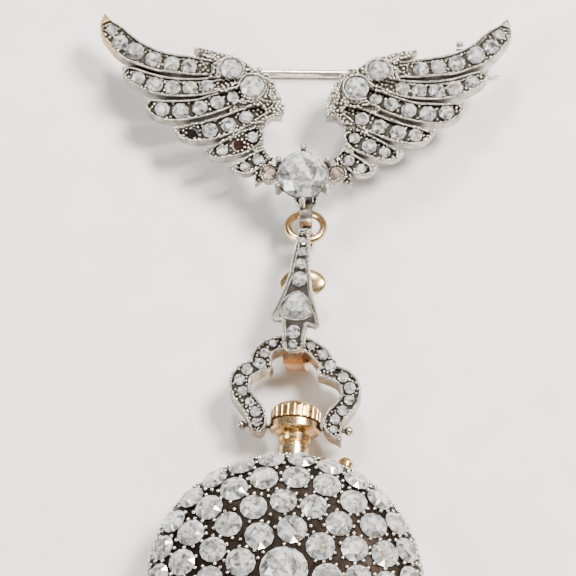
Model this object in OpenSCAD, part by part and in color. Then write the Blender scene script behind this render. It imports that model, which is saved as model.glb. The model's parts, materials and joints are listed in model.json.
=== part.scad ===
// Chatelaine watch pin: a winged brooch, a hook and a stone-set pendant watch, lying face up.
// Millimetres. X runs along the wings, +Y towards the wings, +Z out of the stone-set front.

/* [Brooch] */
// height of the back of the wing plate
wing_back_z = 3.6; // [3.0:0.1:4.2]
// width of the raised edge round each feather
feather_rim = 0.2; // [0.12:0.02:0.3]
// depth of the channel that holds the feather stones
feather_channel = 0.35; // [0.1:0.02:0.5]
// girdle diameter of the centre stone
centre_stone_d = 4.9; // [4:0.1:6]
// number of claws round the centre stone
claw_count = 6; // [4:1:8]
// diameter of a claw
claw_d = 0.56; // [0.4:0.02:0.8]
// diameter of the steel-white pin stem
stem_d = 0.8; // [0.6:0.05:1]

/* [Drop] */
// thickness of the strap link under the centre stone
link_strap = 0.35; // [0.25:0.05:0.5]
// wire diameter of the gold jump ring
ring_wire_d = 0.76; // [0.5:0.02:0.9]
// mean radius of the gold jump ring
ring_r = 1.72; // [1.4:0.02:2]
// lean of the hook towards the right, degrees
hook_lean = 3.9; // [0:0.1:8]
// roll of the hook about its own length, degrees
hook_roll = 10; // [0:1:12]

/* [Bow] */
// thickness of the bow, front to back
bow_depth = 2; // [1.6:0.1:2.4]
// diameter of the ball heads of the bow screws
screw_ball_d = 0.9; // [0.7:0.05:1.2]
// lean of the bow and watch towards the right, degrees
watch_lean = 2.8; // [0:0.1:6]

/* [Watch case] */
// radius of the case band
case_r = 12.95; // [12:0.05:14]
// height of the widest part of the band
band_z = 3.6; // [3:0.1:4.2]
// rise of the stone-set dome above the band
dome_h = 5.5; // [4.5:0.1:6.5]
// roundness of the dome shoulder
dome_power = 2.7; // [2:0.1:4]
// wall thickness of the dome
dome_wall = 1.5; // [1.2:0.1:2]
// girdle diameter of the stone at the top of the dome
apex_stone_d = 4.6; // [3.5:0.1:5]
// running clearance of moving pieces, on the radius
run_gap = 0.03; // [0.02:0.005:0.06]

/* [Crown] */
// outer radius of the crown collar
crown_r = 2.4; // [2:0.05:2.5]
// number of ribs on the crown
crown_ribs = 24; // [16:1:32]
// radius of the pendant neck
neck_r = 1.47; // [1.2:0.01:1.7]

/* [Hidden] */

// the origin of the whole part is the middle of its outer box
shift_y = 18.63;
$fn = 48;
eps = 0.02;
seat_gap = 0.03;
// depth of a girdle below the metal round it
stone_sink = 0.14;

silver = "#c9c6c0";
gold = "#d9a06a";
stone = "#e9eef2";
dark_gold = "#b9854c";

// Points of a smooth curve through the rows, and the edges of a strip along it.
function blend(a, b, c, d, t) =
    0.5 * (2 * b + (c - a) * t + (2 * a - 5 * b + 4 * c - d) * t * t
    + (3 * b - a - 3 * c + d) * t * t * t);
function smooth(rows, steps) =
    [for (i = [0:len(rows) - 2])
        let (a = rows[max(i - 1, 0)], b = rows[i], c = rows[i + 1],
             d = rows[min(i + 2, len(rows) - 1)])
        for (k = [0:steps - 1]) blend(a, b, c, d, k / steps),
     rows[len(rows) - 1]];
function heading(p, i) =
    let (a = p[max(i - 1, 0)], b = p[min(i + 1, len(p) - 1)],
         v = [b[0] - a[0], b[1] - a[1]])
    v / norm(v);
function side(p, i, grow) =
    let (h = heading(p, i), w = max(p[i][2] + grow, 0))
    [p[i][0] - h[1] * w, p[i][1] + h[0] * w];
function other_side(p, i, grow) =
    let (h = heading(p, i), w = max(p[i][2] + grow, 0))
    [p[i][0] + h[1] * w, p[i][1] - h[0] * w];
function wide_enough(p, least) = [for (r = p) if (r[2] > least) r];
function strip(p, grow) =
    concat([for (i = [0:len(p) - 1]) side(p, i, grow)],
           [for (i = [len(p) - 1:-1:0]) if (p[i][2] + grow > 0.01) other_side(p, i, grow)]);

// Old-cut stone on the origin: girdle at z = 0, table up, point down.
function ring_at(n, r, z, turn) =
    [for (i = [0:n - 1]) [r * cos((i + turn) * 360 / n), r * sin((i + turn) * 360 / n), z]];

function crown_h(d) = 0.17 * d;
function culet_h(d) = 0.42 * d;

module small_stone(d, n = 8) {
    girdle = 0.05;
    pts = concat(ring_at(n, 0.3 * d, crown_h(d), 0.5), ring_at(n, d / 2, girdle / 2, 0),
                 ring_at(n, d / 2, -girdle / 2, 0), [[0, 0, -culet_h(d)]]);
    polyhedron(pts, concat(
        [[for (i = [n - 1:-1:0]) i]],
        [for (i = [0:n - 1]) [i, (i + 1) % n, n + (i + 1) % n]],
        [for (i = [0:n - 1]) [i, n + (i + 1) % n, n + i]],
        [for (i = [0:n - 1]) [n + i, n + (i + 1) % n, 2 * n + (i + 1) % n, 2 * n + i]],
        [for (i = [0:n - 1]) [2 * n + i, 2 * n + (i + 1) % n, 3 * n]]));
}

// Larger stone with star, kite and girdle facets.
module large_stone(d) {
    n = 8;
    girdle = 0.07;
    m = 2 * n;
    pts = concat(ring_at(n, 0.29 * d, crown_h(d), 0), ring_at(n, 0.41 * d, 0.6 * crown_h(d), 0.5),
                 ring_at(m, d / 2, girdle / 2, 0), ring_at(m, d / 2, -girdle / 2, 0),
                 [[0, 0, -culet_h(d)]]);
    polyhedron(pts, concat(
        [[for (i = [n - 1:-1:0]) i]],
        [for (i = [0:n - 1]) [i, (i + 1) % n, n + i]],
        [for (i = [0:n - 1]) [(i + 1) % n, m + (2 * i + 2) % m, n + i]],
        [for (i = [0:n - 1]) [(i + 1) % n, n + (i + 1) % n, m + (2 * i + 2) % m]],
        [for (i = [0:n - 1]) [n + i, m + (2 * i + 1) % m, m + 2 * i]],
        [for (i = [0:n - 1]) [n + i, m + (2 * i + 2) % m, m + (2 * i + 1) % m]],
        [for (i = [0:m - 1]) [m + i, m + (i + 1) % m, 2 * m + (i + 1) % m, 2 * m + i]],
        [for (i = [0:m - 1]) [2 * m + i, 2 * m + (i + 1) % m, 3 * m]]));
}

// Space that a stone takes out of the metal, with a small hole through the back.
module seat(d, back) {
    r = d / 2 + seat_gap;
    rotate_extrude()
        polygon([[0, -back], [0.3 * d, -back], [0.3 * d, -0.22 * d], [r, -0.08],
                 [r, 0.8], [0, 0.8]]);
}

// Plain round hole behind a stone that lies in a channel.
module drilled(d, back) {
    translate([0, 0, -back])
        cylinder(r = 0.4 * d, h = back + 0.8);
}

// Feather centre lines of the right wing: x, y, half width. The last row is the tip.
f1 = [[8.9, 11.4, 0.8], [10.9, 11.6, 1], [12.5, 11.8, 1], [14.15, 12.05, 1.1],
      [15.75, 12.65, 1.15], [17.15, 13.4, 1.25], [18.25, 14.5, 1.2], [19.2, 15.6, 0.9],
      [19.6, 17, 0]];
f2 = [[6.65, 10.3, 0.6], [8.45, 9.75, 0.8], [10.4, 9.4, 0.95], [12.5, 9.35, 1],
      [14.45, 9.65, 1], [15.9, 10.2, 0.9], [17, 10.8, 0.7], [17.8, 11.55, 0]];
f3 = [[5.5, 9.1, 0.7], [7.05, 8.4, 0.9], [8.45, 7.85, 1], [10.3, 7.2, 1],
      [12.3, 6.95, 1.1], [13.8, 7.05, 1], [14.75, 7.5, 0.7], [15.45, 8.05, 0]];
f4 = [[3.85, 7.2, 0.6], [5.55, 6.45, 1], [7.35, 5.6, 1.05], [9.2, 4.95, 1.05],
      [10.8, 4.7, 0.95], [11.85, 4.8, 0.55], [12.65, 5.25, 0]];
f5 = [[4.3, 4.9, 0.7], [5.1, 4.25, 1.1], [6.45, 3.5, 1.1], [7.9, 2.9, 0.9],
      [8.95, 2.75, 0.5], [9.7, 3, 0]];
f6 = [[3.6, 2.8, 0.55], [4.5, 2, 0.85], [5.45, 1.35, 0.85], [6.4, 1.2, 0.5],
      [7.2, 1.55, 0]];
f7 = [[3.1, 2.4, 0.25], [3.75, 1.25, 0.3], [4.2, 0.3, 0.4], [4.6, -0.55, 0]];

// Feather stones of the right wing: x, y, girdle diameter.
s1 = [[18.8, 15.4, 1.05], [18, 14.1, 1.55], [16.55, 13.15, 1.85], [14.7, 12.3, 1.6],
      [12.95, 11.85, 1.5], [11.25, 11.6, 1.5]];
s2 = [[16.2, 10.4, 1.35], [14.55, 9.7, 1.6], [12.8, 9.4, 1.55], [11.1, 9.4, 1.4],
      [9.5, 9.6, 1.3]];
s3 = [[13.75, 7.1, 1.5], [11.95, 6.95, 1.7], [10.1, 7.3, 1.55], [8.4, 7.9, 1.45],
      [6.9, 8.45, 1.2]];
s4 = [[10.8, 4.75, 1.35], [9.1, 5, 1.6], [7.3, 5.6, 1.55], [5.6, 6.4, 1.4]];
s5 = [[7.85, 2.95, 1.15], [6.35, 3.55, 1.5], [4.9, 4.4, 1.15]];
s6 = [[4.4, 2.1, 1.15], [5.6, 1.3, 1]];

// One row a feather: centre line, stones, height of the front face.
feathers = [[f1, s1, 5.05], [f2, s2, 4.95], [f3, s3, 4.85], [f4, s4, 4.75], [f5, s5, 4.65],
            [f6, s6, 4.55]];
// Empty seats of the left wing: feather, stone.
lost_stones = [[3, 0], [4, 1]];

shoulder_edge = [[9.35, 12.1], [8, 12.6], [7.05, 12.7], [5.55, 11.8], [4.35, 10.95],
                 [3.5, 10.05], [2.95, 8.9], [2.6, 8], [2.2, 7.05], [2.1, 6.4],
                 [3.1, 6.4], [3.55, 6], [3.85, 5.35], [3.95, 4.3], [3.8, 3.2],
                 [3.25, 1.95], [4.65, 2.6], [5.95, 5.2], [7.25, 7.3], [8.35, 9.2],
                 [9.2, 10.3]];
crest = [[6.8, 12.1, 0.35], [8.2, 12.45, 0.42], [9.5, 12.85, 0.4], [10.86, 13.4, 0]];
// x, y, bezel radius, stone diameter
shoulder_outer = [7.14, 11.19, 1.32, 2.1];
shoulder_inner = [5.06, 9.35, 1.42, 2.35];
side_stone = [3.25, 0.5, 0.95, 1.5];
shoulder_top = 5.45;
shoulder_plate_z = 5.1;
// lobes along the free edge of the shoulder: x, y
lobes = [[4.5, 11.05], [3.72, 10.4], [3.2, 9.6], [2.85, 8.8], [2.58, 8.05], [2.33, 7.3]];
collet_base_z = 3.5;
collet_top_z = 5.75;
centre_z = 5.9;
bail_z = 2.85;
bail_r = 0.95;
hinge_x = -15.5;
stem_y = 12.87;
stem_z = stem_d / 2;
hinge_z = 1;
hinge_pin_r = 0.25;
catch_x = 15;
catch_w = 0.7;

// straight steps between two rows of a feather
feather_steps = 3;

function missing(i, k) = len([for (m = lost_stones) if (m[0] == i && m[1] == k) m]) > 0;

module feather_plate(f) {
    p = smooth(f[0], feather_steps);
    translate([0, 0, wing_back_z])
        linear_extrude(f[2] - wing_back_z)
            polygon(strip(p, 0));
}

module feather_cut(f) {
    inner = wide_enough(smooth(f[0], feather_steps), feather_rim + 0.14);
    translate([0, 0, f[2] - feather_channel])
        linear_extrude(1)
            polygon(strip(inner, -feather_rim));
    for (s = f[1])
        translate([s[0], s[1], f[2] - stone_sink])
            drilled(s[2], 3);
}

module bezel_ring(b, base) {
    translate([b[0], b[1], base])
        cylinder(r = b[2], h = shoulder_top - base);
}

module bezel_cut(b) {
    translate([b[0], b[1], shoulder_top - stone_sink])
        seat(b[3], 3);
    translate([b[0], b[1], shoulder_top - 0.1])
        cylinder(r1 = b[3] / 2 + seat_gap, r2 = b[2] - 0.1, h = 0.12);
}

module wing_plate() {
    difference() {
        union() {
            for (f = feathers) feather_plate(f);
            translate([0, 0, wing_back_z])
                linear_extrude(0.8)
                    polygon(strip(smooth(f7, feather_steps), 0));
            difference() {
                translate([0, 0, wing_back_z])
                    linear_extrude(shoulder_plate_z - wing_back_z)
                        polygon(shoulder_edge);
                // the plate is stepped down where the lower feathers start
                translate([2, 1, 4.57])
                    cube([9, 4.6, 2]);
                translate([5.6, 5, 4.68])
                    cube([5, 2.6, 2]);
            }
            translate([0, 0, wing_back_z])
                linear_extrude(1.7)
                    polygon(strip(smooth(crest, feather_steps), 0));
            for (l = lobes)
                translate([l[0], l[1], wing_back_z])
                    cylinder(r = 0.4, h = 1.65);
            bezel_ring(shoulder_outer, wing_back_z);
            bezel_ring(shoulder_inner, wing_back_z);
        }
        for (f = feathers) feather_cut(f);
        bezel_cut(shoulder_outer);
        bezel_cut(shoulder_inner);
    }
}

module side_collet() {
    difference() {
        union() {
            translate([side_stone[0], side_stone[1], wing_back_z])
                cylinder(r1 = 0.75, r2 = side_stone[2], h = 1.4);
            translate([side_stone[0], side_stone[1] - 0.2, wing_back_z])
                cube([1.3, 0.9, 0.7]);
            // bar to the centre collet
            translate([1.4, side_stone[1] - 0.35, wing_back_z])
                cube([1.3, 0.7, 0.5]);
        }
        translate([side_stone[0], side_stone[1], wing_back_z + 1.32])
            seat(side_stone[3], 3);
    }
}

module centre_collet() {
    claw_at = centre_stone_d / 2 + claw_d / 2 + 0.02;
    difference() {
        union() {
            translate([0, 0, collet_base_z])
                cylinder(r1 = 1.6, r2 = 2.5, h = collet_top_z - collet_base_z);
            for (i = [0:claw_count - 1])
                rotate(30 + i * 360 / claw_count) {
                    translate([claw_at, 0, 4.6])
                        cylinder(d = claw_d, h = 1.65);
                    translate([claw_at, 0, 6.25])
                        sphere(d = claw_d + 0.06);
                    translate([1.6, -0.2, 4.6])
                        cube([claw_at - 1.5, 0.4, 0.7]);
                }
            // legs that carry the wire bail
            for (s = [-1, 1])
                translate([ring_x + s * bail_r, -1.22, bail_z - 0.3])
                    cylinder(d = 0.56, h = 1.3);
        }
        translate([0, 0, collet_base_z - eps])
            cylinder(r1 = 0.95, r2 = 2.2, h = collet_top_z - collet_base_z + 2 * eps);
        translate([0, 0, centre_z])
            seat(centre_stone_d, 1);
        for (i = [0:claw_count - 1])
            rotate(i * 360 / claw_count)
                translate([1.2, 0, 4.85])
                    rotate([0, 90, 0])
                        cylinder(r = 0.42, h = 2);
    }
}

// wire bail under the centre stone, a half ring
module bail() {
    translate([ring_x, -1.3, bail_z])
        difference() {
            rotate_extrude()
                translate([bail_r, 0])
                    circle(d = 0.4);
            translate([-2, 0, -1])
                cube([4, 3, 2]);
        }
}

module hinge_block() {
    for (s = [-1, 1])
        translate([hinge_x, stem_y + s * 0.62, 0]) {
            translate([0, 0.2, hinge_z])
                rotate([90, 0, 0])
                    cylinder(r = 0.8, h = 0.4);
            translate([-0.8, -0.2, hinge_z])
                cube([1.6, 0.4, wing_back_z - hinge_z + 0.1]);
        }
    translate([hinge_x, stem_y + 0.9, hinge_z])
        rotate([90, 0, 0])
            cylinder(r = hinge_pin_r, h = 1.8);
    translate([hinge_x - 1.2, stem_y - 2.4, wing_back_z - 0.3])
        cube([2.4, 3.3, 0.35]);
}

module catch_hook() {
    translate([catch_x - catch_w / 2, 0, 0]) {
        difference() {
            translate([0, 14, 1.9])
                rotate([0, 90, 0])
                    cylinder(r = 1.72, h = catch_w);
            translate([-1, 14, 1.9])
                rotate([0, 90, 0])
                    cylinder(r = 1.38, h = 3);
            translate([-1, 10, -1])
                cube([3, 3.45, 3]);
            translate([-1, 10, 1.5])
                cube([3, 4, 1.78]);
        }
        translate([0, 11.8, 3.28])
            cube([catch_w, 2.2, 0.34]);
    }
}

module wing_frame() {
    color(silver)
        union() {
            wing_plate();
            mirror([1, 0, 0]) wing_plate();
            side_collet();
            mirror([1, 0, 0]) side_collet();
            centre_collet();
            bail();
            hinge_block();
            catch_hook();
        }
}

module centre_stone() {
    color(stone)
        translate([0, 0, centre_z])
            large_stone(centre_stone_d);
}

module shoulder_stone(b) {
    color(stone)
        translate([b[0], b[1], shoulder_top - stone_sink])
            rotate(11)
                large_stone(b[3]);
}

module side_stone_piece() {
    color(stone)
        translate([side_stone[0], side_stone[1], wing_back_z + 1.32])
            small_stone(side_stone[3]);
}

module wing_stones(left) {
    color(stone)
        for (i = [0:len(feathers) - 1])
            for (k = [0:len(feathers[i][1]) - 1])
                if (!(left && missing(i, k)))
                    let (s = feathers[i][1][k])
                        translate([s[0], s[1], feathers[i][2] - stone_sink])
                            rotate(37 * k + 61 * i)
                                small_stone(s[2]);
}

module pin_stem() {
    tip = 19.05;
    color(silver)
        difference() {
            union() {
                translate([hinge_x, stem_y + 0.36, hinge_z])
                    rotate([90, 0, 0])
                        cylinder(r = 0.75, h = 0.72);
                translate([hinge_x, stem_y, stem_z])
                    rotate([0, 90, 0])
                        cylinder(d = stem_d, h = 15.6 - hinge_x);
                translate([15.6, stem_y, stem_z])
                    rotate([0, 90, 0])
                        cylinder(d1 = stem_d, d2 = 0.12, h = tip - 15.6);
            }
            translate([hinge_x, stem_y + 1, hinge_z])
                rotate([90, 0, 0])
                    cylinder(r = hinge_pin_r + run_gap, h = 2);
            // room for the two lugs
            for (s = [-1, 1])
                translate([hinge_x, stem_y + s * 0.72, hinge_z])
                    rotate([90, 0, 0])
                        cylinder(r = 0.86, h = 0.68, center = true);
        }
}

// Strap link and jump ring under the centre stone.
link_top = [-2.17, 2.28];
link_end = [-3.27, 3.2];
link_r = 1.24;
link_w = 1.2;
ring_tilt = 18;
// middle of the wire where it passes through the link: y, z
ring_top = [-2.5, 2.12];
ring_y = ring_top[0] - ring_r * cos(ring_tilt);
ring_z = ring_top[1] + ring_r * sin(ring_tilt);
ring_x = 0.33;

module link_profile(r) {
    hull() {
        translate(link_top) circle(r = r);
        translate(link_end) circle(r = r);
    }
}

module strap_link() {
    color(silver)
        translate([ring_x - link_w / 2, 0, 0])
            rotate([90, 0, 90])
                linear_extrude(link_w)
                    difference() {
                        link_profile(link_r);
                        link_profile(link_r - link_strap);
                    }
}

module jump_ring() {
    color(gold)
        translate([ring_x, ring_y, ring_z])
            rotate([-ring_tilt, 0, 0])
                rotate_extrude()
                    translate([ring_r, 0])
                        circle(d = ring_wire_d);
}

// Hook frame: origin in the eye that takes the jump ring, -Y down the hook.
eye_y = ring_y - ring_r * cos(ring_tilt) - 0.02;
eye_z = ring_z + ring_r * sin(ring_tilt) + 0.02;
eye_x = 0.42;
eye_hole_r = 0.62;

module hook_place() {
    translate([eye_x, eye_y, eye_z])
        rotate(-hook_lean)
            rotate([0, -hook_roll, 0])
                children();
}

// Front outline of the hook: x, y, down the right edge and up the left one.
front_edge = [[0.5, 0.35], [0.66, 0.1], [0.84, -1.8], [1.06, -3.9], [1.34, -5.5], [1.76, -7],
              [2.22, -8.35], [2.5, -9.45], [2.14, -9.85], [1.3, -9.6], [1.2, -10.4],
              [1.17, -11.4], [0.95, -12], [0.5, -12.35], [-0.3, -12.35], [-0.72, -12.05],
              [-0.95, -11.3], [-1.06, -10.1], [-1.22, -9.14], [-2.1, -9.14], [-2.4, -8.75],
              [-1.72, -7.15], [-1.26, -5.7], [-0.92, -4.4], [-0.78, -3.1], [-0.62, -1.9],
              [-0.44, -0.4], [-0.32, 0.25]];
// stones down the hook: x, y, girdle diameter
hook_stone_rows = [[0.13, -0.9, 0.85], [0.13, -2, 1], [0.13, -3.25, 1.15], [0.15, -4.85, 1.6],
                   [0.05, -10.25, 1.4], [0.1, -11.5, 0.9]];
front_z0 = 1.7;
front_z1 = 2.3;
kite = [[0.35, -6.2], [1, -6.95], [1.35, -7.55], [1.62, -8.35], [0.9, -8.8], [-0.4, -8.85],
        [-1.32, -8.35], [-1.28, -7.5], [-0.87, -6.75], [-0.3, -6.3]];
kite_mid = [0.1, -7.65];

function shrunk(p, k, mid) = [for (q = p) mid + (q - mid) * k];
// Corners of a closed outline, moved inwards by w. The outline runs clockwise.
function inset(p, w) =
    [for (i = [0:len(p) - 1])
        let (n = len(p), a = p[(i + n - 1) % n], b = p[i], c = p[(i + 1) % n],
             u = (b - a) / norm(b - a), v = (c - b) / norm(c - b),
             m = [u[1] + v[1], -u[0] - v[0]])
        b + m * w / max(1 + u * v, 0.6)];

module hook_front() {
    color(silver)
        hook_place()
            difference() {
                translate([0, 0, front_z0])
                    linear_extrude(front_z1 - front_z0)
                        polygon(front_edge);
                translate([0, 0, front_z1 - 0.2])
                    linear_extrude(1)
                        polygon(inset(front_edge, 0.2));
                for (s = hook_stone_rows)
                    translate([s[0], s[1], front_z1 - 0.12])
                        seat(s[2], 2);
                translate([0, 0, front_z0 - 0.1])
                    linear_extrude(2)
                        polygon(shrunk(kite, 1.03, kite_mid));
            }
}

module kite_slab(k1, k2, z1, z2) {
    n = len(kite);
    a = shrunk(kite, k1, kite_mid);
    b = shrunk(kite, k2, kite_mid);
    pts = concat([for (q = a) [q[0], q[1], z1]], [for (q = b) [q[0], q[1], z2]]);
    polyhedron(pts, concat(
        [[for (i = [n - 1:-1:0]) i]],
        [[for (i = [0:n - 1]) n + i]],
        [for (i = [0:n - 1]) [i, (i + 1) % n, n + (i + 1) % n]],
        [for (i = [0:n - 1]) [i, n + (i + 1) % n, n + i]]));
}

module hook_kite_stone() {
    color(stone)
        hook_place()
            union() {
                kite_slab(0.5, 1, front_z0 + 0.03, front_z1 - 0.1);
                kite_slab(1, 0.55, front_z1 - 0.1, front_z1 + 0.3);
            }
}

module hook_stones() {
    color(stone)
        hook_place()
            for (i = [0:len(hook_stone_rows) - 1])
                translate([hook_stone_rows[i][0], hook_stone_rows[i][1], front_z1 - 0.12])
                    rotate(29 * i)
                        small_stone(hook_stone_rows[i][2]);
}

// Side outline of the gold hook, seen along X: y, z. It runs down the front and curls back.
hook_side = [[0.2, 0.9], [0.2, 1.67], [-12.1, 1.67], [-12.65, 1.4], [-13, 0.7], [-13, -0.9],
             [-12.9, -1.4], [-12.5, -1.95], [-11.7, -2.3], [-10.7, -2.3], [-10, -2.2], [-9.8, -1.9],
             [-10.1, -1.6], [-11.85, -1.56], [-12.2, -1.3], [-12.35, -0.6], [-12.35, 0.5],
             [-12.15, 1.05], [-11.5, 1.28], [-9.6, 1.32], [-8.6, 0.75], [-7.2, 0.75], [-6.4, 0.95]];
gate_pin_y = -7.9;
gate_pin_z = -0.45;
gate_pin_r = 0.22;
gate_barrel_r = 0.5;

module along_x(w) {
    translate([-w / 2, 0, 0])
        rotate([90, 0, 90])
            linear_extrude(w)
                children();
}

module hook_body() {
    color(gold)
        hook_place()
            difference() {
                union() {
                    difference() {
                        along_x(1.9) polygon(hook_side);
                        // slim neck towards the eye
                        for (s = [-1, 1])
                            translate([s * 1.25 - 0.65, -4.6, -1])
                                cube([1.3, 6, 4]);
                    }
                    // eye round the jump ring
                    translate([-0.5, 0, 0])
                        rotate([0, 90, 0])
                            cylinder(r = 0.98, h = 1);
                    // body under the stones
                    translate([0, 0, 0.75])
                        linear_extrude(0.92)
                            polygon([[0.6, -1], [0.8, -3], [1, -5], [1.4, -6.5], [1.95, -8.5],
                                     [-1.95, -8.5], [-1.3, -6.3], [-0.9, -5], [-0.7, -3],
                                     [-0.5, -1]]);
                    // lugs of the gate
                    for (s = [-1, 1])
                        translate([s * 0.8 - 0.2, gate_pin_y, gate_pin_z]) {
                            rotate([0, 90, 0])
                                cylinder(r = 0.5, h = 0.4);
                            translate([0, -0.5, 0])
                                cube([0.4, 1, 1.4]);
                        }
                    translate([-1, gate_pin_y, gate_pin_z])
                        rotate([0, 90, 0])
                            cylinder(r = gate_pin_r, h = 2);
                }
                translate([-2, 0, 0])
                    rotate([0, 90, 0])
                        cylinder(r = eye_hole_r, h = 4);
                for (s = hook_stone_rows)
                    translate([s[0], s[1], front_z1 - 0.12])
                        seat(s[2], 0.22 * s[2] + 0.4);
            }
}

module gate() {
    color(gold)
        hook_place()
            difference() {
                union() {
                    translate([-0.53, gate_pin_y, gate_pin_z])
                        rotate([0, 90, 0])
                            cylinder(r = gate_barrel_r, h = 1.06);
                    // arm that closes the hook
                    translate([-0.5, -9.67, gate_pin_z - 0.5])
                        cube([1, 1.8, 0.4]);
                    translate([-0.5, -9.66, -2.1])
                        cube([1, 0.55, 1.4]);
                    // neck and thumb piece
                    translate([-0.5, -7.9, gate_pin_z - 0.5])
                        cube([1, 3.2, 0.4]);
                    translate([-0.25, -3.9, gate_pin_z - 0.75])
                        scale([2.3, 1.5, 0.62])
                            sphere(r = 1, $fn = 96);
                }
                translate([-2, gate_pin_y, gate_pin_z])
                    rotate([0, 90, 0])
                        cylinder(r = gate_pin_r + run_gap, h = 4);
            }
}

// Bow and watch, in a frame with its origin on the bow pivot.
watch_x = -0.33;
watch_y = -24.95;
pivot_z = 3.1;
// middle of the case, a little off the line of the neck
case_x = 0.28;
case_y = -16.25;
// the stone-set lid sits a little to the left on the band
lid_x = -0.16;

module watch_place() {
    translate([watch_x, watch_y, 0])
        rotate(-watch_lean)
            children();
}

// Centre lines of the bow: x, y, half width. The arms are bent by hand and not quite alike.
bow_arch = [[-3.57, 5.74, 0.88], [-3.66, 6.34, 1.03], [-3.57, 7.06, 0.93], [-3.04, 7.76, 0.8],
            [-2.16, 8.17, 0.71], [-1.31, 8.28, 0.67], [-0.54, 8.32, 0.66], [0.22, 8.27, 0.69],
            [1.11, 7.92, 0.78], [1.96, 7.26, 0.83], [2.59, 6.48, 0.83], [2.86, 5.93, 0.69]];
bow_arm_right = [[1.79, 5.51, 0.34], [2.6, 5.56, 0.64], [3.52, 5.42, 0.78], [4.35, 5.06, 0.91],
                 [4.92, 4.38, 0.98], [5.11, 3.53, 0.98], [4.88, 2.65, 0.91], [4.32, 1.81, 0.93],
                 [3.75, 1.01, 0.98], [3.61, 0.29, 0.96], [3.84, -0.4, 0.69], [4.21, -0.93, 0.34],
                 [4.48, -1.42, 0]];
bow_arm_left = [[-2.6, 5.49, 0.29], [-3.44, 5.9, 0.59], [-4.28, 5.59, 0.78], [-5.15, 5.08, 0.88],
                [-5.51, 4.19, 1.01], [-5.45, 3.28, 0.98], [-5.01, 2.49, 0.93],
                [-4.45, 1.87, 0.93], [-3.92, 1.14, 0.98], [-3.63, 0.35, 0.93],
                [-3.58, -0.31, 0.78], [-3.64, -0.77, 0.49]];
bow_lines = [bow_arch, bow_arm_right, bow_arm_left];
// bow stones: x, y, girdle diameter
bow_stone_rows = [[0.99, 8.17, 0.85], [2.2, 7.33, 1.1], [3.03, 6.21, 1.2], [4.25, 5.16, 1.1],
                  [4.98, 4.09, 1.2], [5.01, 2.87, 1.05], [4.42, 1.77, 1.05], [3.77, 0.82, 1.05],
                  [3.69, -0.2, 0.8], [-2.64, 8.2, 0.85], [-3.38, 7.13, 1], [-3.74, 6.04, 1.1],
                  [-4.93, 5.35, 1.1], [-5.57, 4.29, 1.15], [-5.21, 3.15, 1.05],
                  [-4.46, 2.07, 0.95], [-3.87, 1.15, 1.05], [-3.71, 0.09, 0.9]];
bow_rim = 0.23;
bow_steps = 3;
bow_z0 = pivot_z - bow_depth / 2;
bow_split = pivot_z + bow_depth / 2 - 0.45;
bow_z1 = pivot_z + bow_depth / 2;
bow_stone_z = bow_z1 - 0.16;

module bow_shape() {
    for (line = bow_lines)
        polygon(strip(smooth(line, bow_steps), 0));
}

module bow_channel() {
    for (line = bow_lines)
        polygon(strip(wide_enough(smooth(line, bow_steps), bow_rim + 0.14), -bow_rim));
}

module bow_drilled() {
    for (s = bow_stone_rows)
        translate([s[0], s[1], bow_stone_z])
            drilled(s[2], 0.22 * s[2] + 0.35);
}

module bow() {
    color(gold)
        watch_place()
            difference() {
                translate([0, 0, bow_z0])
                    linear_extrude(bow_split - eps - bow_z0)
                        bow_shape();
                translate([-6, 0, pivot_z])
                    rotate([0, 90, 0])
                        cylinder(r = screw_r + run_gap, h = 12);
                bow_drilled();
            }
}

module bow_front() {
    color(silver)
        watch_place()
            difference() {
                translate([0, 0, bow_split])
                    linear_extrude(bow_z1 - bow_split)
                        bow_shape();
                translate([0, 0, bow_z1 - 0.3])
                    linear_extrude(1)
                        bow_channel();
                bow_drilled();
            }
}

module bow_stones() {
    color(stone)
        watch_place()
            for (i = [0:len(bow_stone_rows) - 1])
                translate([bow_stone_rows[i][0], bow_stone_rows[i][1], bow_stone_z])
                    rotate(23 * i)
                        small_stone(bow_stone_rows[i][2]);
}

// radius of the bow screws, and where they start inside the pendant
screw_r = 0.2;
screw_x = 1.95;
ball_x = 5.15;

module screw(s) {
    color(silver)
        watch_place()
            mirror([s, 0, 0]) {
                translate([screw_x, 0, pivot_z])
                    rotate([0, 90, 0])
                        cylinder(r = screw_r, h = ball_x - screw_x);
                translate([ball_x, 0, pivot_z])
                    sphere(d = screw_ball_d);
            }
}

// Turned piece on the watch axis: rows of radius, y.
module turned(rows) {
    translate([0, 0, pivot_z])
        rotate([-90, 0, 0])
            rotate_extrude()
                polygon(rows);
}

// radius of the wide head of the pendant, which takes the bow screws
head_r = 2.42;
stem_r = 0.4;

module pendant() {
    color(gold)
        watch_place()
            difference() {
                turned([[0, -4.9], [neck_r, -4.9], [neck_r, -2.1], [1.25, -1.95], [1.25, -1.7],
                        [1.5, -1.55], [1.56, -1.2], [1.5, -0.85], [1.9, -0.6], [head_r - 0.15, -0.5],
                        [head_r, -0.35], [head_r, 0.28], [head_r - 0.15, 0.4], [0, 0.4]]);
                turned([[0, -6], [stem_r + run_gap, -6], [stem_r + run_gap, 1], [0, 1]]);
                for (s = [-1, 1])
                    translate([s * 2.4 - 0.5, 0, pivot_z])
                        rotate([0, 90, 0])
                            cylinder(r = screw_r + 0.02, h = 1);
            }
}

module crown() {
    color(gold)
        watch_place()
            difference() {
                turned([[0, -3.4], [stem_r, -3.4], [stem_r, 0.48], [crown_r - 0.25, 0.48],
                        [crown_r, 0.65], [crown_r, 1.5], [crown_r - 0.2, 1.85],
                        [crown_r - 0.7, 2.2], [0, 2.32]]);
                for (i = [0:crown_ribs - 1])
                    translate([0, 0, pivot_z])
                        rotate([0, i * 360 / crown_ribs, 0])
                            translate([crown_r + 0.04, 0.3, 0])
                                rotate([-90, 0, 0])
                                    cylinder(r = 0.17, h = 2.2);
            }
}

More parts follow.
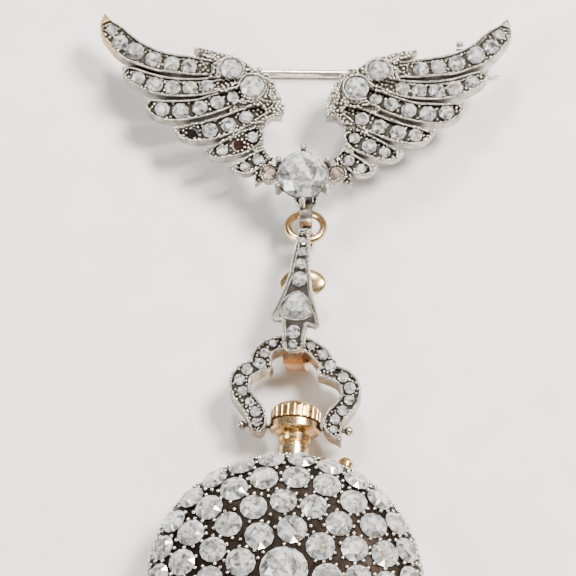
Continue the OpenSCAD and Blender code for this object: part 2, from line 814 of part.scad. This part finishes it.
// Dome surface: height and slope at a distance from the watch centre.
function dome_z(r) =
    band_z + dome_h * pow(max(1 - pow(min(r / case_r, 1), dome_power), 0), 1 / dome_power);
function dome_tilt(r) = atan2(dome_z(r - 0.05) - dome_z(r + 0.05), 0.1);

module case_place() {
    watch_place()
        translate([case_x, case_y, 0])
            children();
}

module lid_place() {
    case_place()
        translate([lid_x, 0, 0])
            children();
}

// Stone rings round the dome: radius, count, girdle diameter, turn of the first stone.
rings = [[4.1, 8, 2.88, -7], [6.95, 15, 2.64, -2], [9.6, 20, 2.74, -3], [11.75, 26, 2.6, 3]];
apex_z = dome_z(0) + 0.05;

// One stone of a ring, with small differences in size and place.
function ring_stone(k, i) =
    let (g = rings[k], j = rands(-1, 1, 3, 100 * k + i))
    [g[0] + 0.02 * j[0], g[3] + i * 360 / g[1] + 0.1 * j[1], g[2] * (0.985 + 0.015 * j[2])];

module on_dome(s) {
    tilt = dome_tilt(s[0]);
    rotate(s[1])
        translate([s[0], 0, dome_z(s[0])])
            rotate([0, tilt, 0])
                translate([0, 0, 0.06])
                    children();
}

dome_rows = 26;

module neck_bore() {
    turned([[0, -6], [neck_r + run_gap, -6], [neck_r + run_gap, 1], [0, 1]]);
}

module case_dome() {
    top = case_r - 0.02;
    inner_r = case_r - dome_wall;
    inner_h = dome_h - dome_wall;
    outer = [for (i = [0:dome_rows]) let (a = 90 * i / dome_rows, r = top * sin(a))
             [r, dome_z(r)]];
    inner = [for (i = [10:-1:0]) let (u = sin(9 * i))
             [inner_r * u, band_z + inner_h * pow(max(1 - pow(u, 2.7), 0), 1 / 2.7)]];
    color(silver)
        lid_place()
            difference() {
                rotate_extrude($fn = 72)
                    polygon(concat(outer, [[top, band_z + 0.02], [inner_r, band_z + 0.02]],
                                   [for (q = inner) if (q[1] > band_z + 0.1) q]));
                translate([0, 0, apex_z])
                    seat(apex_stone_d, 2.1);
                for (k = [0:3])
                    for (i = [0:rings[k][1] - 1])
                        let (s = ring_stone(k, i))
                            on_dome(s) seat(s[2], 1.15);
                // room for the pendant
                translate([-case_x - lid_x, -case_y, 0])
                    neck_bore();
            }
}

module apex_stone() {
    color(stone)
        lid_place()
            translate([0, 0, apex_z])
                large_stone(apex_stone_d);
}

module dome_stones(k) {
    color(stone)
        lid_place()
            for (i = [0:rings[k][1] - 1])
                let (s = ring_stone(k, i))
                    on_dome(s)
                        rotate(47 * i)
                            small_stone(s[2], 12);
}

pusher_at = 90 - 20;

module pusher_place() {
    case_place()
        rotate(pusher_at)
            translate([0, 0, 2.45])
                rotate([0, 90, 0])
                    children();
}

module case_band() {
    color(gold)
        difference() {
            case_place()
                rotate_extrude($fn = 72)
                    polygon([[case_r - 1.45, 1.25], [case_r - 0.3, 1.25], [case_r, 1.6],
                             [case_r + 0.12, 2.4], [case_r + 0.1, 3.2], [case_r - 0.1, band_z],
                             [case_r - 1.45, band_z]]);
            pusher_place()
                cylinder(r = 0.3 + run_gap, h = 16);
            watch_place()
                neck_bore();
        }
}

module pusher() {
    color(gold)
        pusher_place()
            rotate_extrude()
                polygon([[0, case_r - 1.1], [0.3, case_r - 1.1], [0.3, case_r + 0.6],
                         [0.66, case_r + 0.6], [0.76, case_r + 0.75], [0.76, case_r + 1.2],
                         [0.55, case_r + 1.52], [0, case_r + 1.6]]);
}

module bezel() {
    color(gold)
        case_place()
            rotate_extrude($fn = 72)
                polygon([[case_r - 1.75, 0.5], [case_r - 1.5, 0.25], [case_r - 0.7, 0.5],
                         [case_r - 0.25, 1], [case_r - 0.25, 1.22], [case_r - 2.2, 1.22],
                         [case_r - 2.2, 0.95], [case_r - 1.75, 0.95]]);
}

module crystal() {
    color("#dfe9ee")
        case_place()
            rotate_extrude($fn = 72)
                polygon([[0, 0], [case_r - 3, 0], [case_r - 1.8, 0.55], [case_r - 1.8, 0.92],
                         [0, 0.92]]);
}

module dial() {
    color("#f3efe4")
        case_place()
            difference() {
                union() {
                    translate([0, 0, 1.85])
                        cylinder(r = case_r - 1.6, h = 0.35);
                    for (i = [0:11])
                        rotate(30 * i)
                            translate([9.2, -0.12, 1.72])
                                cube([1.5, 0.24, 0.3]);
                }
                translate([0, 0, 1])
                    cylinder(r = 0.7, h = 3);
            }
}

module hand(length, width, z) {
    case_place()
        translate([0, 0, z]) {
            cylinder(r = 0.55, h = 0.18);
            translate([-width / 2, 0, 0])
                cube([width, length, 0.18]);
        }
}

module movement() {
    color(dark_gold)
        case_place()
            union() {
                translate([0, 0, 2.3])
                    cylinder(r = 10.4, h = 3.2);
                translate([0, 0, 1.72])
                    cylinder(r = 0.4, h = 0.7);
            }
}

module whole() {
    wing_frame();
    centre_stone();
    shoulder_stone(shoulder_outer);  // shoulder_stone_right_outer
    shoulder_stone(shoulder_inner);  // shoulder_stone_right_inner
    mirror([1, 0, 0]) shoulder_stone(shoulder_outer);  // shoulder_stone_left_outer
    mirror([1, 0, 0]) shoulder_stone(shoulder_inner);  // shoulder_stone_left_inner
    side_stone_piece();  // side_stone_right
    mirror([1, 0, 0]) side_stone_piece();  // side_stone_left
    wing_stones(false);  // wing_stones_right
    mirror([1, 0, 0]) wing_stones(true);  // wing_stones_left
    pin_stem();
    strap_link();
    jump_ring();
    hook_front();
    hook_body();
    hook_kite_stone();
    hook_stones();
    gate();
    bow();
    bow_front();
    bow_stones();
    screw(0);  // screw_right
    screw(1);  // screw_left
    pendant();
    crown();
    case_band();
    case_dome();
    apex_stone();
    dome_stones(0);  // dome_stones_1
    dome_stones(1);  // dome_stones_2
    dome_stones(2);  // dome_stones_3
    dome_stones(3);  // dome_stones_4
    pusher();
    bezel();
    crystal();
    dial();
    color(dark_gold) hand(5.6, 0.5, 1.45);  // hour_hand
    color(dark_gold) hand(8.4, 0.35, 1.12);  // minute_hand
    movement();
}

translate([0, shift_y, 0]) whole();
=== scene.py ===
"""Looks of the chatelaine watch pin: grains, beaded rims, metals, stones, floor, light, camera.

Lengths named in millimetres are turned into metres with MM.
"""

import json
import math
import random

import bmesh
import bpy
from mathutils import Matrix, Vector
from mathutils.kdtree import KDTree


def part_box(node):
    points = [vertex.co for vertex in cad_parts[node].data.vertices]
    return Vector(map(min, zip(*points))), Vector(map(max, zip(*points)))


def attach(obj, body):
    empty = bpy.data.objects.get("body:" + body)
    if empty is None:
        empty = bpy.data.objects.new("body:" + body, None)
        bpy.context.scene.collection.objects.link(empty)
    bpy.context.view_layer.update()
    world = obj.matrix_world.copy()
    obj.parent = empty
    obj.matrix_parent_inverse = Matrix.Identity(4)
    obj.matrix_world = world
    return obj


MM = 0.001
SEED = 7
# how closely a face has to look along a direction to count as level with it
LEVEL = 0.97

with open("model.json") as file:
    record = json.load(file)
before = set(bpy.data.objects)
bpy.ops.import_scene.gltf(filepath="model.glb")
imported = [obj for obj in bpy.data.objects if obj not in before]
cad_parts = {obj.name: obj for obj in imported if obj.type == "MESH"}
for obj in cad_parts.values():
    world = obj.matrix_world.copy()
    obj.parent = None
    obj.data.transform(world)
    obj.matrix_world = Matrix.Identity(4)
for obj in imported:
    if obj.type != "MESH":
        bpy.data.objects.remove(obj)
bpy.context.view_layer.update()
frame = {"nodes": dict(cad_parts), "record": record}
NODES = frame["nodes"]

# The camera stands where the photograph was taken from.
CAMERA_AZIMUTH = 3.0
CAMERA_ELEVATION = 68.7
CAMERA_ROLL = -2.08
CAMERA_DISTANCE = 600 * MM
CAMERA_LENS = 391.7
CAMERA_TARGET = Vector((-1.24, 7.63, 4.0)) * MM


def make_camera():
    azimuth, elevation, roll = (
        math.radians(a) for a in (CAMERA_AZIMUTH, CAMERA_ELEVATION, CAMERA_ROLL)
    )
    back = Vector((
        math.sin(azimuth) * math.cos(elevation),
        -math.cos(azimuth) * math.cos(elevation),
        math.sin(elevation),
    ))
    right = Vector((math.cos(azimuth), math.sin(azimuth), 0))
    up = back.cross(right)
    turned_right = right * math.cos(roll) + up * math.sin(roll)
    turned_up = up * math.cos(roll) - right * math.sin(roll)
    data = bpy.data.cameras.new("camera")
    data.lens = CAMERA_LENS
    camera = bpy.data.objects.new("camera", data)
    turn = Matrix((turned_right, turned_up, back)).transposed().to_4x4()
    camera.matrix_world = Matrix.Translation(CAMERA_TARGET + back * CAMERA_DISTANCE) @ turn
    bpy.context.scene.collection.objects.link(camera)
    bpy.context.scene.camera = camera


# Material helpers.
def new_material(name):
    material = bpy.data.materials.new(name)
    material.use_nodes = True
    return material, material.node_tree, material.node_tree.nodes["Principled BSDF"]


def add(tree, kind, inputs=None, **settings):
    node = tree.nodes.new(kind)
    for key, value in settings.items():
        setattr(node, key, value)
    for key, value in (inputs or {}).items():
        node.inputs[key].default_value = value
    return node


def link(tree, source, target):
    tree.links.new(source, target)


def object_point(tree):
    return add(tree, "ShaderNodeTexCoord").outputs["Object"]


def noise(tree, scale, detail=4.0, roughness=0.55):
    """Noise over the object, with scale in features a millimetre."""
    node = add(tree, "ShaderNodeTexNoise",
               {"Scale": scale / MM, "Detail": detail, "Roughness": roughness})
    link(tree, object_point(tree), node.inputs["Vector"])
    return node.outputs["Fac"]


def ramp(tree, source, stops):
    """Colour ramp from (position, colour) rows."""
    node = add(tree, "ShaderNodeValToRGB")
    elements = node.color_ramp.elements
    while len(elements) < len(stops):
        elements.new(0.5)
    for element, (position, colour) in zip(elements, stops):
        element.position = position
        element.color = (*colour, 1) if len(colour) == 3 else colour
    link(tree, source, node.inputs["Fac"])
    return node.outputs["Color"]


def span(tree, source, low, high, to_low, to_high):
    node = add(tree, "ShaderNodeMapRange", {
        "From Min": low, "From Max": high, "To Min": to_low, "To Max": to_high,
    })
    link(tree, source, node.inputs["Value"])
    return node.outputs["Result"]


def mixed(tree, factor, first, second, blend="MIX"):
    """Colour mix of two sockets or colours."""
    node = add(tree, "ShaderNodeMix", data_type="RGBA", blend_type=blend)
    link(tree, factor, node.inputs["Factor"])
    for key, value in (("A", first), ("B", second)):
        socket = [s for s in node.inputs if s.name == key and s.type == "RGBA"][0]
        if isinstance(value, tuple):
            socket.default_value = (*value, 1)
        else:
            link(tree, value, socket)
    return [s for s in node.outputs if s.type == "RGBA"][0]


def maths(tree, operation, first, second):
    node = add(tree, "ShaderNodeMath", operation=operation)
    for socket, value in zip(node.inputs, (first, second)):
        if isinstance(value, (int, float)):
            socket.default_value = value
        else:
            link(tree, value, socket)
    return node.outputs[0]


def openness(tree, reach):
    """1 on open metal, 0 deep in a recess or close under a neighbouring part, looking reach millimetres
    out; it sets where painted shade and tarnish darken the metal.
    """
    node = add(tree, "ShaderNodeAmbientOcclusion", {"Distance": reach * MM}, samples=6)
    return node.outputs["AO"]


def bump(tree, shader, height, distance, strength=1.0):
    node = add(tree, "ShaderNodeBump", {"Strength": strength, "Distance": distance * MM})
    link(tree, height, node.inputs["Height"])
    link(tree, node.outputs["Normal"], shader.inputs["Normal"])


def in_channel(tree, direction, floor, step, top):
    """1 on faces that look along direction and lie a whole number of steps above the floor."""
    facing = add(tree, "ShaderNodeVectorMath", operation="DOT_PRODUCT")
    link(tree, add(tree, "ShaderNodeNewGeometry").outputs["True Normal"], facing.inputs[0])
    facing.inputs[1].default_value = direction
    height = add(tree, "ShaderNodeVectorMath", operation="DOT_PRODUCT")
    link(tree, object_point(tree), height.inputs[0])
    height.inputs[1].default_value = direction
    steps = maths(tree, "DIVIDE", maths(tree, "SUBTRACT", height.outputs["Value"], floor), step)
    on_step = maths(tree, "LESS_THAN", maths(tree, "PINGPONG", steps, 0.5), 0.2)
    level = maths(tree, "MULTIPLY", maths(tree, "GREATER_THAN", facing.outputs["Value"], LEVEL), on_step)
    return maths(tree, "MULTIPLY", level, maths(tree, "LESS_THAN", height.outputs["Value"], top))


def worn_and_shaded_metal(name, bright, dull, dark, recess=(0.25, 0.75), reach=0.5, polish=0.22,
               channel=None, gilded_left_of=None):
    """Old metal: bright where it is open and rubbed, dull in patches, and dark in the recesses and close
    under other parts, with tarnish and painted shade.
    """
    material, tree, shader = new_material(name)
    patches = ramp(tree, noise(tree, 1.1, 5), [(0.38, dull), (0.62, bright)])
    if gilded_left_of is not None:
        across = add(tree, "ShaderNodeSeparateXYZ")
        link(tree, object_point(tree), across.inputs[0])
        edge = maths(tree, "ADD", across.outputs["X"],
                     span(tree, noise(tree, 2, 4), 0.3, 0.7, -0.5 * MM, 0.5 * MM))
        gilded = span(tree, edge, (gilded_left_of - 0.4) * MM, (gilded_left_of + 0.4) * MM, 1, 0)
        patches = mixed(tree, gilded, patches, (0.80, 0.46, 0.14))
    # painted shade with tarnish: metal hemmed in by walls or nearby parts is mixed towards the dark colour
    open_part = span(tree, openness(tree, reach), recess[0], recess[1], 0, 1)
    smudge = span(tree, noise(tree, 3.5, 6), 0.3, 0.7, -0.25, 0.2)
    clean_and_unshaded_node = add(tree, "ShaderNodeClamp")
    link(tree, maths(tree, "ADD", open_part, smudge), clean_and_unshaded_node.inputs["Value"])
    clean_and_unshaded = clean_and_unshaded_node.outputs[0]
    if channel:
        # channel floors between the rims are painted nearly black: tarnish together with painted shade
        sunk = in_channel(tree, *channel)
        clean_and_unshaded = maths(tree, "MULTIPLY", clean_and_unshaded, span(tree, sunk, 0, 1, 1, 0.08))
    link(tree, mixed(tree, clean_and_unshaded, dark, patches), shader.inputs["Base Color"])
    shader.inputs["Metallic"].default_value = 1
    scratched = span(tree, noise(tree, 6, 6, 0.7), 0.3, 0.7, polish - 0.06, polish + 0.16)
    rough = maths(tree, "ADD", scratched, span(tree, clean_and_unshaded, 0, 1, 0.25, 0))
    link(tree, rough, shader.inputs["Roughness"])
    bump(tree, shader, noise(tree, 9, 5, 0.6), 0.02, 0.5)
    return material


# how much the lightness changes from facet to facet, and from stone to stone
FACET_VARIETY = 3.1
STONE_VARIETY = 37.0
SHARDS_PER_MM = 2.9


def stone_material(name, tints):
    """Old-cut stone: a painted lightness for each facet and shard, and a tint for each stone."""
    material, tree, shader = new_material(name)
    geometry = add(tree, "ShaderNodeNewGeometry")
    each = geometry.outputs["Random Per Island"]
    spread = add(tree, "ShaderNodeVectorMath", operation="MULTIPLY_ADD")
    link(tree, geometry.outputs["True Normal"], spread.inputs[0])
    spread.inputs[1].default_value = (FACET_VARIETY,) * 3
    link(tree, maths(tree, "MULTIPLY", each, STONE_VARIETY), spread.inputs[2])
    by_facet = add(tree, "ShaderNodeTexNoise", {"Scale": 2.0, "Detail": 1.0})
    link(tree, spread.outputs["Vector"], by_facet.inputs["Vector"])
    inside = add(tree, "ShaderNodeTexVoronoi", {"Scale": SHARDS_PER_MM / MM}, feature="F1")
    link(tree, object_point(tree), inside.inputs["Vector"])
    shards = add(tree, "ShaderNodeSeparateColor")
    link(tree, inside.outputs["Color"], shards.inputs["Color"])
    light = maths(tree, "ADD", span(tree, by_facet.outputs["Fac"], 0.3, 0.7, 0.0, 0.55),
                  span(tree, shards.outputs["Red"], 0, 1, 0.0, 0.45))
    returned = ramp(tree, light, [(0.15, (0.06, 0.06, 0.06)), (0.40, (0.30, 0.30, 0.30)),
                                  (0.62, (0.66, 0.66, 0.66)), (0.85, (1.0, 1.0, 1.0))])
    link(tree, mixed(tree, returned, (0.05, 0.045, 0.04), ramp(tree, each, tints)),
         shader.inputs["Base Color"])
    shader.inputs["Transmission Weight"].default_value = 0.35
    shader.inputs["IOR"].default_value = 2.1
    link(tree, span(tree, noise(tree, 5, 4), 0.3, 0.7, 0.01, 0.09), shader.inputs["Roughness"])
    return material


def cement_and_shade_material(name, colour):
    """Old cement left in an empty seat; given a near-black colour, the same material is painted shade in a
    seat's hole.
    """
    material, tree, shader = new_material(name)
    darker = tuple(c * 0.35 for c in colour)
    link(tree, ramp(tree, noise(tree, 6, 5), [(0.35, darker), (0.65, colour)]), shader.inputs["Base Color"])
    shader.inputs["Roughness"].default_value = 0.7
    shader.inputs["Specular IOR Level"].default_value = 0.1
    bump(tree, shader, noise(tree, 5, 4), 0.1, 0.8)
    return material


def enamel_material():
    material, tree, shader = new_material("enamel")
    link(tree, ramp(tree, noise(tree, 0.4, 4), [(0.4, (0.86, 0.83, 0.75)), (0.6, (0.93, 0.91, 0.86))]),
         shader.inputs["Base Color"])
    shader.inputs["Roughness"].default_value = 0.12
    bump(tree, shader, noise(tree, 2, 3), 0.01, 0.3)
    return material


def crystal_material():
    material, tree, shader = new_material("crystal")
    shader.inputs["Base Color"].default_value = (0.95, 0.98, 1, 1)
    shader.inputs["Transmission Weight"].default_value = 1
    shader.inputs["IOR"].default_value = 1.5
    link(tree, span(tree, noise(tree, 3, 6), 0.4, 0.8, 0.0, 0.12), shader.inputs["Roughness"])
    return material


# the third silver colour is tarnish together with painted shade, for the recesses
BRIGHT_SILVER, DULL_SILVER, TARNISH_AND_SHADE_SILVER = (0.66, 0.61, 0.53), (0.34, 0.30, 0.25), (0.012, 0.009, 0.007)


def silver(name, **settings):
    return worn_and_shaded_metal(name, BRIGHT_SILVER, DULL_SILVER, TARNISH_AND_SHADE_SILVER, recess=(0.45, 0.92), reach=0.6,
                      **settings)


def front_plane(node):
    """Direction that a node's front faces look along, and how far out along it they lie."""
    direction = Vector()
    for face in NODES[node].data.polygons:
        if face.normal.z > 0.9:
            direction += face.normal * face.area
    direction.normalize()
    return direction, max(v.co.dot(direction) for v in NODES[node].data.vertices)


HOOK_NORMAL, HOOK_TOP = front_plane("hook_front")
UP = (0, 0, 1)
SILVER = silver("silver")
WING_SILVER = silver("wing_silver", channel=(UP, 4.2 * MM, 0.1 * MM, 5.15 * MM), gilded_left_of=-18.2)
BOW_SILVER = silver("bow_silver", channel=(UP, 3.8 * MM, 0.6 * MM, 4.0 * MM))
HOOK_SILVER = silver("hook_silver", channel=(HOOK_NORMAL, HOOK_TOP - 0.2 * MM, 0.4 * MM,
                                             HOOK_TOP - 0.1 * MM))
DARK_SILVER = worn_and_shaded_metal("dark_silver", (0.022, 0.016, 0.012), (0.012, 0.008, 0.006), (0.004, 0.003, 0.003),
                         recess=(0.3, 0.95), polish=0.4)
GRAIN = worn_and_shaded_metal("grain_silver", (0.80, 0.75, 0.66), (0.46, 0.42, 0.36), (0.08, 0.06, 0.05),
                   recess=(0.1, 0.6), reach=0.3, polish=0.14)
GOLD = worn_and_shaded_metal("rose_gold", (0.90, 0.66, 0.34), (0.66, 0.43, 0.20), (0.09, 0.045, 0.02),
                  recess=(0.3, 0.85), polish=0.16)
BOW_GOLD = worn_and_shaded_metal("tarnished_gold", (0.62, 0.50, 0.35), (0.36, 0.27, 0.18), (0.05, 0.035, 0.02),
                      recess=(0.3, 0.9), polish=0.28)
# painted shade: a darker, more orange copy of the gold for the hook's curl, which is seen from below
SHADED_HOOK_GOLD = worn_and_shaded_metal("shaded_hook_gold", (0.78, 0.42, 0.22), (0.52, 0.26, 0.13), (0.08, 0.03, 0.015),
                       recess=(0.2, 0.8), polish=0.2)
STEEL = worn_and_shaded_metal("pin_metal", (0.88, 0.80, 0.73), (0.66, 0.57, 0.50), (0.2, 0.16, 0.13),
                   recess=(0.0, 0.4), polish=0.2)
GILT = worn_and_shaded_metal("gilt", (0.85, 0.62, 0.30), (0.62, 0.44, 0.20), (0.12, 0.07, 0.03))
STONE = stone_material("old_cut_stone", [
    (0.0, (0.66, 0.52, 0.32)), (0.08, (0.80, 0.73, 0.60)), (0.2, (0.86, 0.85, 0.81)),
    (0.7, (0.88, 0.88, 0.86)), (1.0, (0.74, 0.75, 0.76)),
])
BROWN_STONE = stone_material("brown_stone", [(0.0, (0.66, 0.48, 0.34)), (1.0, (0.78, 0.60, 0.46))])

NODE_MATERIALS = {
    "silver": SILVER, "gold": GOLD, "pin_steel": STEEL, "diamond": STONE,
    "crystal": crystal_material(), "enamel": enamel_material(), "hands": GILT, "movement": GILT,
}
SPECIAL = {
    "wing_frame": WING_SILVER, "bow_front": BOW_SILVER, "hook_front": HOOK_SILVER,
    "case_dome": DARK_SILVER, "bow": BOW_GOLD, "hook_body": SHADED_HOOK_GOLD,
    "side_stone_right": BROWN_STONE, "side_stone_left": BROWN_STONE,
}


def paint_nodes():
    for part in frame["record"]["subparts"]:
        node = NODES[part["node"]]
        material = SPECIAL.get(part["node"], NODE_MATERIALS[part["material_slot"]])
        node.data.materials.clear()
        node.data.materials.append(material)


# Geometry that is read from the frame's own meshes.
def merged(node):
    """The node's mesh as a bmesh, with the corners of its faces joined."""
    mesh = bmesh.new()
    mesh.from_mesh(NODES[node].data)
    bmesh.ops.remove_doubles(mesh, verts=mesh.verts, dist=0.002 * MM)
    mesh.normal_update()
    return mesh


def islands(node):
    """Centre, girdle radius and axis of each loose stone in a node."""
    mesh = merged(node)
    todo = set(mesh.verts)
    found = []
    while todo:
        group, edge = [], [todo.pop()]
        while edge:
            vert = edge.pop()
            group.append(vert)
            for e in vert.link_edges:
                other = e.other_vert(vert)
                if other in todo:
                    todo.remove(other)
                    edge.append(other)
        points = [v.co.copy() for v in group]
        faces = {f for v in group for f in v.link_faces}
        table = max(faces, key=lambda f: f.calc_area())
        axis = Vector((0, 0, 0))
        for f in faces:
            if f.normal.angle(table.normal) < math.radians(2):
                axis += f.normal * f.calc_area()
        axis.normalize()
        middle = sum(points, Vector()) / len(points)
        spread = [(p - middle) - axis * (p - middle).dot(axis) for p in points]
        radius = max(s.length for s in spread)
        girdle = [p for p, s in zip(points, spread) if s.length > radius * 0.97]
        found.append((sum(girdle, Vector()) / len(girdle), radius, axis))
    mesh.free()
    return found


def joined(name, items, body, material):
    """One mesh of small balls from (place, radius) rows."""
    ball = bmesh.new()
    bmesh.ops.create_icosphere(ball, subdivisions=2, radius=1)
    corners = [v.co.copy() for v in ball.verts]
    faces = [[v.index for v in f.verts] for f in ball.faces]
    ball.free()
    points, polygons = [], []
    for place, radius in items:
        first = len(points)
        points += [place + c * radius for c in corners]
        polygons += [[first + i for i in f] for f in faces]
    mesh = bpy.data.meshes.new(name)
    mesh.from_pydata(points, [], polygons)
    mesh.polygons.foreach_set("use_smooth", [True] * len(polygons))
    mesh.materials.append(material)
    piece = bpy.data.objects.new(name, mesh)
    bpy.context.scene.collection.objects.link(piece)
    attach(piece, body)
    return piece


def kept_apart(candidates, radius, least):
    """Candidates taken in order, each at least so far from those before it."""
    kept = []
    cells = {}
    for place in candidates:
        key = tuple(int(math.floor(c / least)) for c in place)
        near = [
            p for dx in (-1, 0, 1) for dy in (-1, 0, 1) for dz in (-1, 0, 1)
            for p in cells.get((key[0] + dx, key[1] + dy, key[2] + dz), ())
        ]
        if all((p - place).length >= least for p in near):
            cells.setdefault(key, []).append(place)
            kept.append((place, radius))
    return kept


RIM_HALF = 0.1 * MM


def beaded_rims(name, node, body, lowest, radius=0.1, spacing=0.2):
    """Rows of tiny beads along the raised edges of a node's front faces."""
    mesh = merged(node)
    candidates = []
    for edge in sorted(mesh.edges, key=lambda e: tuple(round(c, 6) for c in e.verts[0].co)):
        if len(edge.link_faces) != 2:
            continue
        first, second = sorted(edge.link_faces, key=lambda f: -f.normal.z)
        if first.normal.z < LEVEL or abs(second.normal.z) > 0.25:
            continue
        a, b = edge.verts[0].co, edge.verts[1].co
        if min(a.z, b.z) < lowest * MM:
            continue
        along = (b - a).normalized()
        inward = along.cross(first.normal)
        if inward.dot(first.calc_center_median() - a) < 0:
            inward = -inward
        steps = max(1, round((b - a).length / (spacing * MM)))
        for i in range(steps):
            candidates.append(a.lerp(b, (i + 0.5) / steps) + inward * RIM_HALF)
    mesh.free()
    return joined(name, kept_apart(candidates, radius * MM, 0.92 * spacing * MM), body, GRAIN)


def grains(name, node, body, stones, radius, keep, count_each, sink=0.3, apart=1.9):
    """Small balls of metal in the gaps between stones, on the faces that keep() takes."""
    rng = random.Random(SEED)
    mesh = merged(node)
    faces = [f for f in mesh.faces if keep(f)]
    bmesh.ops.triangulate(mesh, faces=faces)
    faces = [f for f in mesh.faces if keep(f)]
    tree = KDTree(len(stones))
    for i, (place, _, _) in enumerate(stones):
        tree.insert(place, i)
    tree.balance()
    rows = []
    for f in sorted(faces, key=lambda f: tuple(round(c, 6) for c in f.calc_center_median())):
        a, b, c = (v.co for v in f.verts)
        for _ in range(1 + int(f.calc_area() / (MM * MM) * count_each)):
            u, v = rng.random(), rng.random()
            if u + v > 1:
                u, v = 1 - u, 1 - v
            place = a + (b - a) * u + (c - a) * v
            clear = 1.0
            for _, i, _ in tree.find_n(place, 4):
                middle, stone_radius, axis = stones[i]
                away = place - middle
                flat = away - axis * away.dot(axis)
                clear = min(clear, flat.length - stone_radius)
            if clear > radius * MM * 0.55:
                rows.append((clear, place, f.normal.copy()))
    mesh.free()
    rows.sort(key=lambda r: r[0])
    places = [p + n * radius * MM * sink for _, p, n in rows]
    return joined(name, kept_apart(places, radius * MM, apart * radius * MM), body, GRAIN)


# metres
FLOOR_HALF_SIDE = 2.0


def stage():
    size = FLOOR_HALF_SIDE
    floor_mesh = bpy.data.meshes.new("floor")
    floor_mesh.from_pydata([(-size, -size, 0), (size, -size, 0), (size, size, 0), (-size, size, 0)], [],
                           [(0, 1, 2, 3)])
    floor = bpy.data.objects.new("floor", floor_mesh)
    material, tree, shader = new_material("floor")
    link(tree, ramp(tree, noise(tree, 0.2, 3), [(0.4, (0.70, 0.69, 0.67)), (0.6, (0.73, 0.72, 0.70))]),
         shader.inputs["Base Color"])
    shader.inputs["Roughness"].default_value = 0.7
    floor_mesh.materials.append(material)
    bpy.context.scene.collection.objects.link(floor)


# name, place, size, power in watts, colour; each light faces the object
LIGHTS = [
    ("key", (0.20, 0.12, 0.34), 0.12, 5.0, (1.0, 0.97, 0.93)),
    ("fill", (-0.30, -0.06, 0.24), 0.16, 1.3, (0.93, 0.96, 1.0)),
    ("top", (-0.04, 0.30, 0.28), 0.08, 2.0, (1.0, 1.0, 1.0)),
    ("front", (0.05, -0.34, 0.24), 0.06, 0.9, (1.0, 0.98, 0.95)),
]


def lights():
    for name, place, size, power, colour in LIGHTS:
        data = bpy.data.lights.new(name, "AREA")
        data.size = size
        data.energy = power
        data.color = colour
        lamp = bpy.data.objects.new(name, data)
        lamp.location = place
        lamp.rotation_euler = (-Vector(place)).to_track_quat("-Z", "Y").to_euler()
        bpy.context.scene.collection.objects.link(lamp)
    world = bpy.data.worlds.new("studio")
    world.use_nodes = True
    world.node_tree.nodes["Background"].inputs["Color"].default_value = (0.80, 0.82, 0.86, 1)
    world.node_tree.nodes["Background"].inputs["Strength"].default_value = 0.20
    bpy.context.scene.world = world


make_camera()
paint_nodes()
stage()
lights()

WING_STONES = sum((islands(n) for n in (
    "wing_stones_right", "wing_stones_left", "side_stone_right", "side_stone_left",
    "shoulder_stone_right_outer", "shoulder_stone_right_inner", "shoulder_stone_left_outer",
    "shoulder_stone_left_inner")), [])
DOME_STONES = sum((islands(n) for n in (
    "apex_stone", "dome_stones_1", "dome_stones_2", "dome_stones_3", "dome_stones_4")), [])
BOW_STONES = islands("bow_stones")

CASE_MIDDLE = sum(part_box("case_band"), Vector()) / 2


def on_dome(face):
    middle = face.calc_center_median()
    out = Vector((middle.x - CASE_MIDDLE.x, middle.y - CASE_MIDDLE.y, 6 * MM)).normalized()
    return middle.z > 4.2 * MM and face.normal.dot(out) > 0.55


def channel(lowest, highest):
    return lambda face: (face.normal.z > LEVEL
                         and lowest * MM < face.calc_center_median().z < highest * MM)


def lost_seats(whole, worn):
    """Seats that hold a stone in one wing and none at the mirrored place in the other."""
    found = []
    for place, radius, _ in islands(whole):
        mirrored = Vector((-place.x, place.y, place.z))
        if all((mirrored - other).length > 0.3 * MM for other, _, _ in islands(worn)):
            found.append((mirrored, radius))
    return sorted(found, key=lambda row: -row[0].y)


# disc in an empty seat, old cement in one and painted shade in the other: share of the seat's radius, depth
# of its middle and of its edge in mm
DISC_REACH = 0.97
DISC_MIDDLE = 0.28
DISC_EDGE = 0.08
DISC_UNEVEN = 0.1


def cement_and_shade_disc(name, place, radius, material):
    """Uneven disc that fills an empty seat; in brown it is old cement, in near black it is painted shade in
    the hole.
    """
    rng = random.Random(SEED)
    points = [(place.x, place.y, place.z - DISC_MIDDLE * MM)]
    reach = radius * DISC_REACH
    corners = 24
    for i in range(corners):
        turn = 2 * math.pi * i / corners
        points.append((place.x + reach * math.cos(turn), place.y + reach * math.sin(turn),
                       place.z - (DISC_EDGE + DISC_UNEVEN * rng.random()) * MM))
    mesh = bpy.data.meshes.new(name)
    mesh.from_pydata(points, [], [(0, 1 + i, 1 + (i + 1) % corners) for i in range(corners)])
    mesh.materials.append(material)
    piece = bpy.data.objects.new(name, mesh)
    bpy.context.scene.collection.objects.link(piece)
    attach(piece, "brooch")


beaded_rims("wing_beading", "wing_frame", "brooch", 4.5)
beaded_rims("bow_beading", "bow_front", "brooch", 4.05)
beaded_rims("hook_beading", "hook_front", "brooch", 3.0)
grains("wing_grains", "wing_frame", "brooch", WING_STONES, 0.14, channel(4.15, 4.75), 60, apart=2.6)
grains("shoulder_grains", "wing_frame", "brooch", WING_STONES, 0.16, channel(5.05, 5.35), 40)
grains("bow_grains", "bow_front", "brooch", BOW_STONES, 0.13, channel(3.7, 3.9), 60, apart=2.4)
grains("dome_grains", "case_dome", "watch", DOME_STONES, 0.21, on_dome, 60, apart=3.0)
# the first empty seat gets a near-black disc, painted shade where the hole is dark; the second gets brown
# old cement
for (place, radius), name, colour in zip(
        lost_seats("wing_stones_right", "wing_stones_left"),
        ("seat_hole_shade", "brown_residue"), ((0.004, 0.003, 0.003), (0.022, 0.006, 0.003))):
    cement_and_shade_disc(name, place, radius, cement_and_shade_material(name, colour))
